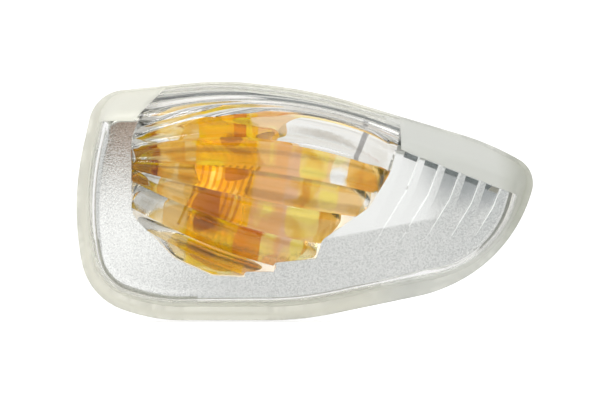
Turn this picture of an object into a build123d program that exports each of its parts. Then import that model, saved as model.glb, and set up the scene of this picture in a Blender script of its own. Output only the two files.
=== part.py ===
from build123d import *
import math
import os

os.makedirs("parts", exist_ok=True)

# Millimetres. The lens faces -Y, X runs along the lamp to its pointed tip and Z is up.
# The origin is midway between the two rear screw bosses, on their end faces.
# A distance called forward is measured from that mounting plane towards the lens, so it is -Y.

# Outline of the welded rim, clockwise from the lower left, as x, z and corner radius
rim_outline = [
    (-47.8, -24.4, 16.7),
    (-52.3, 0.9, 74.7),
    (-45.9, 29.5, 9.7),
    (-11.8, 32.9, 77.9),
    (12.2, 29.9, 125.0),
    (57.7, 16.3, 71.9),
    (70.5, 9.1, 7.2),
    (63.2, -14.3, 38.5),
    (42.6, -23.2, 37.6),
    (8.3, -30.3, 87.2),
    (-30.6, -30.3, 47.8),
]
# How far the lens wall stands in from the rim on each side, and how far it leans in up to lean_height
flange_widths = [3.0, 2.4, 0.6, 0.6, 0.6, 1.0, 2.0, 2.6, 3.6, 3.6, 3.6]
wall_leans = [3.2, 3.2, 8.0, 8.0, 8.0, 8.0, 6.0, 5.0, 4.2, 4.2, 4.2]
lean_height = 18.0
least_corner_radius = 2.0
side_use = 0.97

# Lens
weld_forward = 24.0
flange_thickness = 2.2
crown_height = 13.0
crown_radius = 330.0
crown_tilt = 8.8
crown_x = 5.0
lens_wall = 2.4
lens_edge_radius = 3.0
tongue_inset = 1.2
tongue_width = 1.0
tongue_depth = 1.2
weld_clearance = 0.1

# Flutes on the inside of the lens, whose cusp lines pass these heights at three stations along X
flute_stations = (-35.4, -5.2, 28.9)
cusps_left = [26.0, 24.4, 22.0, 19.4, 17.1, 14.7, 11.3, 9.4, 6.3, -0.8, -4.5]
cusps_middle = [28.6, 27.6, 26.5, 25.5, 23.9, 17.1, 9.4, 2.1, -5.8, -13.9, -18.6]
cusps_right = [22.0, 21.0, 19.9, 18.9, 17.6, 9.7, 2.9, -3.7, -11.3, -19.7, -24.9]
flute_bulge = 0.17
flute_bulge_limit = 1.4
flute_stand = 0.5
flute_root = 1.0
flute_spans = 4
flute_margin = 0.3
flute_low = 29.5
flute_run_left = 2.0
flute_run_right = 6.0

# Window in the bezel, clockwise from the lower left, with the stepped lower edge last
window_outline = [
    (-36.2, -2.4, 4.0),
    (-36.2, 17.0, 10.0),
    (-31.5, 29.0, 2.0),
    (-10.0, 31.0, 20.0),
    (35.2, 22.5, 2.0),
    (31.6, 8.5, 12.0),
    (26.0, -0.8, 5.0),
    (13.9, -9.2, 2.0),
    (12.4, -14.2, 1.0),
    (1.8, -15.2, 0.4),
    (1.6, -17.6, 0.4),
    (-5.8, -17.6, 0.4),
    (-6.0, -19.2, 0.4),
    (-15.0, -18.8, 2.0),
    (-25.0, -14.4, 8.0),
]

# Bezel
bezel_side_gap = 0.6
bezel_front_gap = 1.4
bezel_wall = 1.8
bezel_edge_radius = 1.6
ledge_drop = 2.0
skirt_wall = 1.5
terrace_count = 5
terrace_first = (38.6, 12.6)
terrace_pitch = (5.3, -2.05)
terrace_width = 3.4
terrace_depth = 2.6
terrace_shrink = 0.11
terrace_legs = [(-3.2, -8.7), (-7.8, -13.1), (-6.0, -3.0)]
terrace_floor = 1.4
terrace_narrowing = [1.0, 0.95, 0.7]
pad_margin = 2.0
pad_side = 3.0
pad_corner = 1.0

# Reflector bowl, made of upright strips that lean over
mouth_outline = [
    (-35.4, -2.4, 4.0),
    (-35.4, 14.0, 8.0),
    (-28.0, 23.0, 6.0),
    (-10.0, 24.0, 20.0),
    (12.0, 21.5, 20.0),
    (33.0, 14.5, 3.0),
    (30.0, 5.0, 12.0),
    (25.0, -1.5, 5.0),
    (12.6, -13.6, 3.0),
    (1.0, -18.2, 3.0),
    (-15.0, -18.4, 6.0),
    (-26.0, -12.8, 8.0),
]
mouth_forward = 28.4
bowl_depth = 11.2
bowl_shallowing = 0.3
bowl_radius = 40.0
bowl_middle_z = 4.0
bowl_wall = 1.6
strip_count = 8
strip_width = 9.2
strip_lean = 8.0
strip_overlap = 1.2
strip_middle_x = -1.5
bulb_hole_clearance = 1.6
mouth_flange_width = 3.4
mouth_flange_thickness = 3.0
reflector_clearance = 1.0
seat_ring_wall = 1.6
seat_ring_clearance = 0.6

# Amber filter
filter_outline = [
    (-31.5, -4.0, 5.0),
    (-31.5, 13.0, 6.0),
    (-18.0, 21.5, 8.0),
    (4.0, 21.5, 8.0),
    (31.0, 9.0, 4.0),
    (22.5, -1.5, 6.0),
    (9.8, -12.0, 4.0),
    (0.0, -17.2, 4.0),
    (-14.0, -17.2, 6.0),
    (-25.5, -11.5, 6.0),
]
filter_rise = 2.6
filter_crest_x = -3.2
filter_radius = 170.0
filter_wall = 1.8
ear_length = 5.0
ear_width = 7.0
ear_thickness = 1.3
ear_clearance = 0.1
ear_root = 2.0
ear_left = (-31.5, 5.0)
ear_right = (30.0, 9.0)
rib_count = 8
rib_width = 0.7
rib_height = 0.5
rib_length = 17.0
rib_lean = 27.0
rib_sink = 0.1

# Bulb, along Y
bulb_x = -12.9
bulb_z = 3.9
bulb_radius = 7.6
bulb_tip = 26.5
bulb_length = 36.5
bulb_shoulder = 5.0
bulb_neck_radius = 5.4
glass_wall = 0.9
pinch_width = 9.5
pinch_thickness = 2.1
pinch_length = 8.0
filament_forward = 17.0
filament_radius = 0.55
filament_wire = 0.12
filament_turns = 9
lead_spacing = 6.0
lead_radius = 0.25
lead_fold = 4.5
lead_gap = 0.05
bead_forward = 9.0
bead_radius = 1.0

# Housing
rim_thickness = 3.5
tray_wall = 2.2
tray_inset = 1.7
tray_lean = 1.3
tray_back = 12.0
back_wall = 2.0
screw_spacing = 74.0
screw_hole_radius = 1.6
screw_hole_depth = 10.0
boss_radius = 4.0
gusset_length = 3.5
gusset_thickness = 1.4
pin_x = 24.0
pin_z = -12.0
pin_radius = 2.0
pin_beyond = 4.0
pin_chamfer = 1.0
hook_x = 51.0
hook_z = 3.0
hook_width = 8.0
hook_thickness = 3.0
hook_reach = 4.5
hook_back = 2.5
hook_toe = 2.5
vent_x = -38.0
vent_z = 16.0
vent_radius = 3.0
vent_bore = 1.2
vent_length = 6.0
vent_cap_wall = 1.2
vent_cap_length = 5.0
vent_slot_depth = 2.0
vent_clearance = 0.5
star_ribs = 6
star_rib_height = 4.0
star_rib_margin = 1.0

# Twist-lock collar and bulb holder
collar_rear = 2.0
collar_bore = 14.0
collar_wall = 2.2
ledge_thickness = 2.5
ledge_radius = 11.6
neck_clearance = 0.08
lug_count = 3
lug_angle = 30.0
lug_reach = 2.1
lug_thickness = 2.2
lug_clearance = 0.1
lug_root = 1.0
notch_clearance = 0.2
notch_slack = 4.0
twist_angle = 45.0
stop_gap_angle = 2.0
stop_angle = 8.0
stop_clearance = 0.3
stop_sink = 1.0
neck_front = 10.0
seal_thickness = 2.0
seal_inner = 12.2
seal_outer = 15.4
seal_gap = 0.1
seal_chamfer = 0.5
holder_flange_radius = 16.5
holder_flange_thickness = 2.6
socket_clearance = 0.4
plug_body_width = 22.0
plug_body_height = 16.0
plug_floor = 3.2
plug_corner_radius = 3.0
shroud_width = 16.0
shroud_height = 12.6
shroud_depth = 8.5
shroud_wall = 1.6
shroud_corner_radius = 1.5
wing_length = 30.0
wing_thickness = 3.0
wing_height = 6.0
latch_width = 5.0
latch_height = 1.6
latch_length = 2.5
latch_setback = 2.0
contact_width = 3.2
contact_thickness = 0.6
contact_clearance = 0.15
blade_end_gap = 2.0
spring_end_gap = 1.0

# Lengths of cutting blocks: past the whole lamp, and just past a face
far = 60.0
beyond = 1.0

flange_front = weld_forward + flange_thickness
crown_forward_middle = flange_front + crown_height
ledge_forward = weld_forward - ledge_drop
rim_back = weld_forward - rim_thickness
filter_crest = mouth_forward + filter_rise
bulb_end = bulb_tip - bulb_length
pinch_front = bulb_end + pinch_length
ledge_front = collar_rear + ledge_thickness
holder_front = collar_rear - seal_gap - seal_thickness
holder_back = holder_front - holder_flange_thickness
slot_floor = bulb_end - 2 * lead_radius - 2 * lead_gap
plug_back = slot_floor - plug_floor
shroud_back = plug_back - shroud_depth


def inset(corners, widths):
    """The outline moved inward, each side by its own width, with its corner radii made smaller."""
    if not isinstance(widths, list):
        widths = [widths] * len(corners)
    moved = []
    for i, (x, z, radius) in enumerate(corners):
        before = corners[i - 1]
        after = corners[(i + 1) % len(corners)]
        length_in = math.hypot(x - before[0], z - before[1])
        length_out = math.hypot(after[0] - x, after[1] - z)
        # Inward normals of the two sides that meet here
        ax, az = (z - before[1]) / length_in, (before[0] - x) / length_in
        bx, bz = (after[1] - z) / length_out, (x - after[0]) / length_out
        width_in, width_out = widths[i - 1], widths[i]
        area = ax * bz - az * bx
        dx = (width_in * bz - width_out * az) / area
        dz = (width_out * ax - width_in * bx) / area
        smaller = radius - (width_in + width_out) / 2
        moved.append((x + dx, z + dz, max(smaller, min(radius, least_corner_radius))))
    return moved


def at(forward):
    """The plane parallel to the mounting plane, this far forward, that looks towards the lens."""
    return Plane.XZ.offset(forward)


def fitted_radii(corners):
    """The corner radii, made smaller where two neighbours would meet on the side between them."""
    tangents = []
    for i, (x, z, radius) in enumerate(corners):
        before = corners[i - 1]
        after = corners[(i + 1) % len(corners)]
        turn = math.atan2(after[1] - z, after[0] - x) - math.atan2(z - before[1], x - before[0])
        turn = (turn + math.pi) % (2 * math.pi) - math.pi
        tangents.append(radius * math.tan(abs(turn) / 2))
    shares = [1.0] * len(corners)
    for i, (x, z, radius) in enumerate(corners):
        j = (i + 1) % len(corners)
        side = math.hypot(corners[j][0] - x, corners[j][1] - z)
        share = side_use * side / (tangents[i] + tangents[j])
        shares[i] = min(shares[i], share)
        shares[j] = min(shares[j], share)
    return [corner[2] * share for corner, share in zip(corners, shares)]


def outline_face(corners):
    points = [(x, z) for x, z, radius in corners]
    return make_face(FilletPolyline(*points, radius=fitted_radii(corners), close=True))


def slab(corners, low, high):
    """The outline made into a straight block between two forward distances."""
    return extrude(at(low) * outline_face(corners), amount=high - low)


def drafted(low_corners, high_corners, low, high):
    """A block whose walls lean from one outline to the other."""
    return loft([at(low) * outline_face(low_corners), at(high) * outline_face(high_corners)], ruled=True)


def disc(x, z, radius, low, high):
    return extrude(at(low) * Pos(x, z) * Circle(radius), amount=high - low)


def block(x, z, width, height, low, high, turn=0.0):
    return extrude(at(low) * Pos(x, z) * Rot(0, 0, turn) * Rectangle(width, height), amount=high - low)


def ball(radius, crest_forward, crest_x, drop):
    """A ball through crest_forward at crest_x and z = 0, leaning forward at its top, set back by drop."""
    tilt = math.radians(crown_tilt)
    centre = (crest_x, radius * math.cos(tilt) - crest_forward, radius * math.sin(tilt))
    return Pos(*centre) * Sphere(radius - drop)


def crown(drop):
    """The ball whose skin is the lens's front, set back by drop."""
    return ball(crown_radius, crown_forward_middle, crown_x, drop)


def crown_forward(x, z, drop):
    """How far forward the crown is at a point, set back by drop."""
    tilt = math.radians(crown_tilt)
    centre_y = crown_radius * math.cos(tilt) - crown_forward_middle
    across = math.hypot(x - crown_x, z - crown_radius * math.sin(tilt))
    return math.sqrt((crown_radius - drop) ** 2 - across**2) - centre_y


wall_outline = inset(rim_outline, flange_widths)


def capped(inward, drop, low, edge_radius):
    """The space inside the leaning walls and behind the crown, both set in, with a rounded front edge."""
    base = inset(wall_outline, inward)
    top = inset(inset(wall_outline, wall_leans), inward)
    body = slab(base, low, flange_front) + drafted(base, top, flange_front, flange_front + lean_height)
    body = body & crown(drop)
    front = body.faces().sort_by(Axis.Y)[0]
    return fillet(front.edges(), edge_radius)


def through_three(x, values):
    """The parabola through a value at each of the three flute stations."""
    total = 0.0
    for i, station in enumerate(flute_stations):
        share = values[i]
        for j, other in enumerate(flute_stations):
            if j != i:
                share *= (x - other) / (station - other)
        total += share
    return total


def outline_top(corners, x):
    """The height of an outline's upper edge at x, from its corners."""
    heights = []
    for i, (x0, z0, radius) in enumerate(corners):
        x1, z1, next_radius = corners[(i + 1) % len(corners)]
        if x0 <= x <= x1:
            heights.append(z0 + (z1 - z0) * (x - x0) / (x1 - x0))
    return max(heights)


def inner_wall_forward(x, z):
    """How far forward the inside of the lens is at a point: its crown, or its leaning top wall above that."""
    top_base = outline_top(inset(wall_outline, lens_wall), x)
    slope = wall_leans[3] / lean_height
    top_wall = flange_front + (top_base - z) / slope
    return min(crown_forward(x, z, lens_wall), top_wall)


def flute_section(x):
    """One cross-section of the fluted block: a row of arcs towards the inside, rooted in the wall."""
    heights = [through_three(x, values) for values in zip(cusps_left, cusps_middle, cusps_right)]
    wall = [Vector(x, -inner_wall_forward(x, z), z) for z in heights]
    normals = []
    for i in range(len(wall)):
        along = wall[min(i + 1, len(wall) - 1)] - wall[max(i - 1, 0)]
        normals.append(Vector(0, -along.Z, along.Y).normalized())
    cusps = [point + normal * flute_stand for point, normal in zip(wall, normals)]
    edges = []
    for i in range(len(cusps) - 1):
        chord = cusps[i + 1] - cusps[i]
        inward = Vector(0, -chord.Z, chord.Y).normalized()
        bulge = min(flute_bulge * chord.length, flute_bulge_limit)
        middle = (cusps[i] + cusps[i + 1]) * 0.5 + inward * bulge
        edges.append(ThreePointArc(cusps[i], middle, cusps[i + 1]))
    roots = [point - normal * flute_root for point, normal in zip(wall, normals)]
    edges.append(Line(cusps[-1], roots[-1]))
    for i in range(len(roots) - 1, 0, -1):
        edges.append(Line(roots[i], roots[i - 1]))
    edges.append(Line(roots[0], cusps[0]))
    return Face(Wire(edges))


def make_lens():
    body = capped(0.0, 0.0, weld_forward, lens_edge_radius)
    body += slab(rim_outline, weld_forward, flange_front)
    tongue = slab(inset(rim_outline, tongue_inset), weld_forward - tongue_depth, weld_forward)
    tongue -= slab(inset(rim_outline, tongue_inset + tongue_width), weld_forward - far, weld_forward)
    body += tongue
    hollow = capped(lens_wall, lens_wall, weld_forward - tongue_depth, lens_edge_radius - lens_wall / 2)
    first = flute_stations[0] - flute_run_left
    span = (flute_stations[-1] + flute_run_right - first) / flute_spans
    sections = [flute_section(first + span * i) for i in range(flute_spans + 1)]
    flutes = loft(sections, ruled=True) & slab(inset(window_outline, flute_margin), flute_low, far)
    return body - (hollow - flutes)


def terrace_region(k):
    """Outline of one recess on the bezel: a straight top and two sides that sweep down to a point."""
    scale = 1 - terrace_shrink * k
    x = terrace_first[0] + terrace_pitch[0] * k
    z = terrace_first[1] + terrace_pitch[1] * k
    right = [(x, z)]
    for dx, dz in terrace_legs:
        right.append((right[-1][0] + dx * scale, right[-1][1] + dz * scale))
    rise = terrace_width * -terrace_pitch[1] / terrace_pitch[0]
    left = []
    for (px, pz), share in zip(right, terrace_narrowing):
        left.append((px - terrace_width * share, pz + rise * share))
    return right + left[::-1]


def terrace_cutter(k, bezel_drop):
    """The space of one recess, in front of a floor that is deepest at its top and runs out at its foot."""
    region = terrace_region(k)
    face = make_face(Polyline(*region, close=True))
    prism = extrude(at(weld_forward) * face, amount=far)
    foot_x, foot_z = region[len(terrace_legs)]
    hinge = Axis((foot_x, -crown_forward(foot_x, foot_z, bezel_drop), foot_z), (1, 0, 0))
    fall = math.degrees(math.atan2(terrace_depth, region[0][1] - foot_z))
    return prism - crown(bezel_drop).rotate(hinge, fall)


def make_bezel():
    inward = lens_wall + bezel_side_gap
    drop = lens_wall + bezel_front_gap
    body = capped(inward, drop, ledge_forward, bezel_edge_radius)
    shell = body - capped(inward + bezel_wall, drop + bezel_wall, ledge_forward - far, bezel_edge_radius / 2)
    skirt = slab(inset(window_outline, -skirt_wall), mouth_forward, far) & body
    last = terrace_region(terrace_count - 1)
    first = terrace_region(0)
    pad_outline = [
        (first[3][0] - pad_margin, first[3][1] - pad_margin, pad_corner),
        (first[-1][0] - pad_margin, first[-1][1] + pad_margin, pad_corner),
        (last[0][0] + pad_side, last[0][1] + pad_margin, pad_corner),
        (last[1][0] + pad_side, last[2][1] - pad_margin, pad_corner),
    ]
    pad = slab(pad_outline, weld_forward, far) & body
    pad -= crown(drop + terrace_depth + terrace_floor)
    pad -= slab(inset(mouth_outline, -mouth_flange_width - reflector_clearance), 0, mouth_forward)
    bezel = shell + skirt + pad
    bezel -= slab(window_outline, mouth_forward - beyond, far)
    for k in range(terrace_count):
        bezel -= terrace_cutter(k, drop)
    return bezel


def strip_cylinder(k, radius, extra):
    """One upright strip of the bowl: a short drum along X, set back more the nearer it is to the bulb."""
    middle = (strip_count - 1) / 2
    offset = (k - middle) * strip_width
    depth = bowl_depth * (1 - bowl_shallowing * ((k - middle) / middle) ** 2)
    drum = Cylinder(radius, strip_width + 2 * extra, rotation=(0, 90, 0))
    place = Pos(offset, depth - bowl_radius - mouth_forward, 0)
    return Pos(strip_middle_x, 0, bowl_middle_z) * Rot(0, strip_lean, 0) * place * drum


def make_reflector():
    inner = strip_cylinder(0, bowl_radius, 0.0)
    outer = strip_cylinder(0, bowl_radius + bowl_wall, strip_overlap)
    for k in range(1, strip_count):
        inner += strip_cylinder(k, bowl_radius, 0.0)
        outer += strip_cylinder(k, bowl_radius + bowl_wall, strip_overlap)
    outer &= slab(inset(mouth_outline, -bowl_wall), tray_back, mouth_forward)
    flange_outline = inset(mouth_outline, -mouth_flange_width)
    flange = slab(flange_outline, mouth_forward - mouth_flange_thickness, mouth_forward)
    inward = lens_wall + bezel_side_gap + bezel_wall + reflector_clearance
    room = drafted(
        inset(wall_outline, inward),
        inset(inset(wall_outline, wall_leans), inward),
        flange_front,
        flange_front + lean_height,
    )
    body = outer + (flange & room)
    ring_bore = collar_bore + seat_ring_clearance
    ring_low = tray_back + back_wall
    ring = disc(bulb_x, bulb_z, ring_bore + seat_ring_wall, ring_low, mouth_forward - bowl_depth)
    ring -= disc(bulb_x, bulb_z, ring_bore, 0, far)
    body += ring
    body -= inner & slab(mouth_outline, 0, far)
    body -= disc(bulb_x, bulb_z, bulb_radius + bulb_hole_clearance, 0, far)
    for ear in ear_left, ear_right:
        body -= make_ear(ear, ear_clearance)
    return body


def make_ear(place, slack):
    """A tab of the filter, which lies in a pocket of the reflector's rim."""
    reach = -ear_length if place[0] < 0 else ear_length
    root = ear_root if place[0] < 0 else -ear_root
    low = mouth_forward - ear_thickness - ear_clearance - slack
    high = mouth_forward - ear_clearance + slack + (far if slack else 0.0)
    middle = place[0] + (reach + root) / 2
    length = abs(reach) + abs(root) + 2 * slack
    return block(middle, place[1], length, ear_width + 2 * slack, low, high)


def filter_ball(drop):
    """The ball whose skin is the filter's front, set back by drop."""
    return ball(filter_radius, filter_crest, filter_crest_x, drop)


def make_filter():
    region = slab(filter_outline, 0, far)
    dome = (filter_ball(0.0) - filter_ball(filter_wall)) & region
    for ear in ear_left, ear_right:
        dome += make_ear(ear, 0.0)
    bars = []
    for i in range(rib_count):
        across = (i - (rib_count - 1) / 2) * 2 * bulb_radius / rib_count
        bars.append(block(bulb_x + across, bulb_z, rib_width, rib_length, 0, far, -rib_lean))
    shell = filter_ball(filter_wall - rib_sink) - filter_ball(filter_wall + rib_height)
    for bar in bars:
        dome += bar & shell & region
    return dome


def make_housing():
    tray_outline = inset(wall_outline, tray_inset)
    body = slab(rim_outline, rim_back, weld_forward)
    body += drafted(inset(tray_outline, tray_lean), tray_outline, tray_back, rim_back)
    inner = inset(tray_outline, tray_wall)
    body -= drafted(inset(inner, tray_lean), inner, tray_back + back_wall, weld_forward)
    body -= slab(inset(wall_outline, lens_wall + weld_clearance), ledge_forward, far)
    groove_floor = weld_forward - tongue_depth - weld_clearance
    groove = slab(inset(rim_outline, tongue_inset - weld_clearance), groove_floor, far)
    groove -= slab(inset(rim_outline, tongue_inset + tongue_width + weld_clearance), 0, far)
    body -= groove
    back = slab(inset(inset(tray_outline, tray_lean), star_rib_margin), 0, far)
    rib_low = tray_back - star_rib_height
    for i in range(star_ribs):
        rib = block(bulb_x, bulb_z, 2 * far, gusset_thickness, rib_low, tray_back, 180.0 * i / star_ribs)
        body += rib & back
    body += disc(bulb_x, bulb_z, collar_bore + collar_wall, collar_rear, tray_back)
    body -= disc(bulb_x, bulb_z, collar_bore, ledge_front, tray_back + back_wall)
    body -= disc(bulb_x, bulb_z, ledge_radius, 0, far)
    past_lug = twist_angle + lug_angle / 2 + stop_gap_angle + stop_angle / 2
    stop_front = ledge_front + lug_thickness
    notch_radius = collar_bore - notch_clearance
    for i in range(lug_count):
        turn = 360.0 * i / lug_count
        body -= sector(ledge_radius - lug_root, notch_radius, lug_angle + notch_slack, turn, 0, ledge_front)
        stop = sector(
            ledge_radius + stop_clearance,
            collar_bore + stop_sink,
            stop_angle,
            turn + past_lug,
            ledge_front,
            stop_front,
        )
        body += stop
    for side in -1, 1:
        boss_x = side * screw_spacing / 2
        body += disc(boss_x, 0, boss_radius, 0, tray_back)
        for turn in 0.0, 90.0:
            reach = 2 * (boss_radius + gusset_length)
            body += block(boss_x, 0, reach, gusset_thickness, rib_low, tray_back, turn)
        body -= disc(boss_x, 0, screw_hole_radius, 0, screw_hole_depth)
    pin = disc(pin_x, pin_z, pin_radius, -pin_beyond, tray_back)
    body += chamfer(pin.faces().sort_by(Axis.Y)[-1].edges(), pin_chamfer)
    leg = block(hook_x + hook_thickness / 2, hook_z, hook_thickness, hook_width, hook_back, tray_back)
    hook_length = hook_thickness + hook_reach
    toe_front = hook_back + hook_toe
    toe = block(hook_x + hook_length / 2, hook_z, hook_length, hook_width, hook_back, toe_front)
    body += leg + toe
    body -= disc(vent_x, vent_z, vent_radius + vent_cap_wall + vent_clearance, 0, tray_back)
    body += disc(vent_x, vent_z, vent_radius, tray_back - vent_length, tray_back)
    body -= disc(vent_x, vent_z, vent_bore, 0, tray_back + back_wall)
    return body


def sector(inner, outer, angle, middle, low, high):
    """A piece of a ring about the bulb's axis, angle wide, centred on the direction middle."""
    reach = 2 * outer
    half_width = reach * math.tan(math.radians(angle / 2))
    triangle = make_face(Polyline((0, 0), (reach, half_width), (reach, -half_width), close=True))
    wedge = extrude(at(low) * Pos(bulb_x, bulb_z) * Rot(0, 0, middle) * triangle, amount=high - low)
    ring = disc(bulb_x, bulb_z, outer, low, high)
    ring -= disc(bulb_x, bulb_z, inner, low - beyond, high + beyond)
    return wedge & ring


def make_vent_cap():
    low = tray_back - vent_length - vent_cap_wall
    cap = disc(vent_x, vent_z, vent_radius + vent_cap_wall, low, low + vent_cap_length)
    cap -= disc(vent_x, vent_z, vent_radius, tray_back - vent_length, far)
    slot_low = low + vent_cap_length - vent_slot_depth
    cap -= block(vent_x, vent_z, vent_cap_wall, 2 * (vent_radius + vent_cap_wall), slot_low, far)
    return cap


def lead_path(side):
    """A lead from the filament down through the pinch, folded back along its flat face."""
    x = bulb_x + side * lead_spacing / 2
    turn = bulb_end - lead_radius - lead_gap
    away = bulb_z - side * (pinch_thickness / 2 + lead_radius + lead_gap)
    inside = [(x, -filament_forward, bulb_z), (x, -turn, bulb_z)]
    outside = [(x, -turn, away), (x, -turn - lead_fold, away)]
    return FilletPolyline(*inside, *outside, radius=lead_radius * 2)


def make_lead(side):
    path = lead_path(side)
    section = Plane(origin=path @ 0, z_dir=path % 0) * Circle(lead_radius)
    return sweep(section, path=path)


def glass_profile(radius, neck, low, high):
    """Half of the bulb's outline about its axis: a cone from the neck, a straight wall and a round tip."""
    shoulder = pinch_front + bulb_shoulder
    straight_end = high - radius
    return make_face(
        [
            Line((0, low), (neck, low)),
            Line((neck, low), (radius, shoulder)),
            Line((radius, shoulder), (radius, straight_end)),
            CenterArc((0, straight_end), radius, 0, 90),
            Line((0, high), (0, low)),
        ]
    )


def make_glass(leads):
    section = Plane(origin=(bulb_x, 0, bulb_z), x_dir=(1, 0, 0), z_dir=(0, 0, -1))
    axis = Axis((bulb_x, 0, bulb_z), (0, 1, 0))
    outer = glass_profile(bulb_radius, bulb_neck_radius, pinch_front, bulb_tip)
    hollow = glass_profile(
        bulb_radius - glass_wall,
        bulb_neck_radius - glass_wall,
        pinch_front + glass_wall,
        bulb_tip - glass_wall,
    )
    glass = revolve(section * outer, axis, 360) - revolve(section * hollow, axis, 360)
    glass += block(bulb_x, bulb_z, pinch_width, pinch_thickness, bulb_end, pinch_front + glass_wall / 2)
    for lead in leads:
        glass -= lead
    return glass


def make_filament():
    """A tight coil between the leads, as a core turned with one ridge for each winding."""
    length = lead_spacing - 2 * lead_radius
    pitch = length / filament_turns
    points = [(-length / 2, 0)]
    for i in range(filament_turns):
        start = i * pitch - length / 2
        points += [(start, filament_radius - filament_wire), (start + pitch / 2, filament_radius)]
    points += [(length / 2, filament_radius - filament_wire), (length / 2, 0)]
    coil = revolve(make_face(Polyline(*points, close=True)), Axis.X, 360)
    return Pos(bulb_x, -filament_forward, bulb_z) * coil


def make_bead(leads):
    length = lead_spacing + 4 * lead_radius
    bead = Pos(bulb_x, -bead_forward, bulb_z) * Cylinder(bead_radius, length, rotation=(0, 90, 0))
    bead = chamfer(bead.edges().filter_by(GeomType.CIRCLE), bead_radius / 2)
    for lead in leads:
        bead -= lead
    return bead


def contact_boxes(side, slack):
    """The three runs of a contact: spring beside the pinch, jog, and blade in the plug's mouth."""
    x = bulb_x + side * lead_spacing / 2
    face = pinch_thickness / 2 + 2 * lead_radius + 2 * lead_gap
    spring_z = bulb_z - side * (face + contact_thickness / 2)
    jog_low = slot_floor - contact_thickness
    width = contact_width + 2 * slack
    thick = contact_thickness + 2 * slack
    spring = block(x, spring_z, width, thick, jog_low, pinch_front - spring_end_gap + slack)
    jog_middle = (spring_z + bulb_z) / 2
    jog = block(x, jog_middle, width, abs(spring_z - bulb_z) + thick, jog_low, jog_low + contact_thickness)
    blade = block(x, bulb_z, contact_width, contact_thickness, shroud_back + blade_end_gap, jog_low)
    return spring, jog, blade


def make_contact(side):
    spring, jog, blade = contact_boxes(side, 0.0)
    return spring + jog + blade


def make_holder():
    body = disc(bulb_x, bulb_z, ledge_radius - neck_clearance, holder_front, neck_front)
    body += disc(bulb_x, bulb_z, holder_flange_radius, holder_back, holder_front)
    lug_low = ledge_front + lug_clearance
    for i in range(lug_count):
        turn = 360.0 * i / lug_count + twist_angle
        lug_tip = ledge_radius + lug_reach
        body += sector(ledge_radius - lug_root, lug_tip, lug_angle, turn, lug_low, lug_low + lug_thickness)
    plug = block(bulb_x, bulb_z, plug_body_width, plug_body_height, plug_back, holder_back)
    plug = fillet(plug.edges().filter_by(Axis.Y), plug_corner_radius)
    shroud = block(bulb_x, bulb_z, shroud_width, shroud_height, shroud_back, plug_back)
    shroud = fillet(shroud.edges().filter_by(Axis.Y), shroud_corner_radius)
    body += plug + shroud
    wing_back = holder_back - wing_height
    for turn in 0.0, 90.0:
        body += block(bulb_x, bulb_z, wing_length, wing_thickness, wing_back, holder_back, turn)
    latch_z = bulb_z + shroud_height / 2 + latch_height / 2
    latch_low = shroud_back + latch_setback
    body += block(bulb_x, latch_z, latch_width, latch_height, latch_low, latch_low + latch_length)
    body -= disc(bulb_x, bulb_z, bulb_radius + socket_clearance, pinch_front - socket_clearance, far)
    slot_width = pinch_width + 2 * contact_clearance
    slot_height = pinch_thickness + 2 * contact_clearance
    body -= block(bulb_x, bulb_z, slot_width, slot_height, slot_floor, far)
    mouth_width = shroud_width - 2 * shroud_wall
    mouth_height = shroud_height - 2 * shroud_wall
    body -= block(bulb_x, bulb_z, mouth_width, mouth_height, shroud_back - beyond, plug_back)
    for side in -1, 1:
        spring, jog, blade = contact_boxes(side, contact_clearance)
        room = block(
            bulb_x + side * lead_spacing / 2,
            bulb_z - side * (pinch_thickness / 2 + lead_radius * 2) / 2,
            contact_width + 2 * contact_clearance,
            pinch_thickness / 2 + lead_radius * 2 + 4 * lead_gap,
            slot_floor,
            pinch_front,
        )
        body -= spring + room
        body -= jog
        body -= blade
    return body


def make_seal():
    ring = disc(bulb_x, bulb_z, seal_outer, holder_front, holder_front + seal_thickness)
    ring -= disc(bulb_x, bulb_z, seal_inner, -far, far)
    return chamfer(ring.faces().sort_by(Axis.Y)[0].edges(), seal_chamfer)


leads = [make_lead(-1), make_lead(1)]
parts = {
    "lens": make_lens(),
    "bezel": make_bezel(),
    "reflector": make_reflector(),
    "amber_filter": make_filter(),
    "housing": make_housing(),
    "vent_cap": make_vent_cap(),
    "bulb_holder": make_holder(),
    "holder_seal": make_seal(),
    "contact_left": make_contact(-1),
    "contact_right": make_contact(1),
    "bulb_glass": make_glass(leads),
    "lead_wire_left": leads[0],
    "lead_wire_right": leads[1],
    "filament": make_filament(),
    "glass_bead": make_bead(leads),
}
for name, part in parts.items():
    export_step(part, f"parts/{name}.step")
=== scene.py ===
"""Looks of a vehicle indicator lamp: clear fluted lens, satin bezel, bright bowl, amber filter and bulb."""

import math

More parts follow.
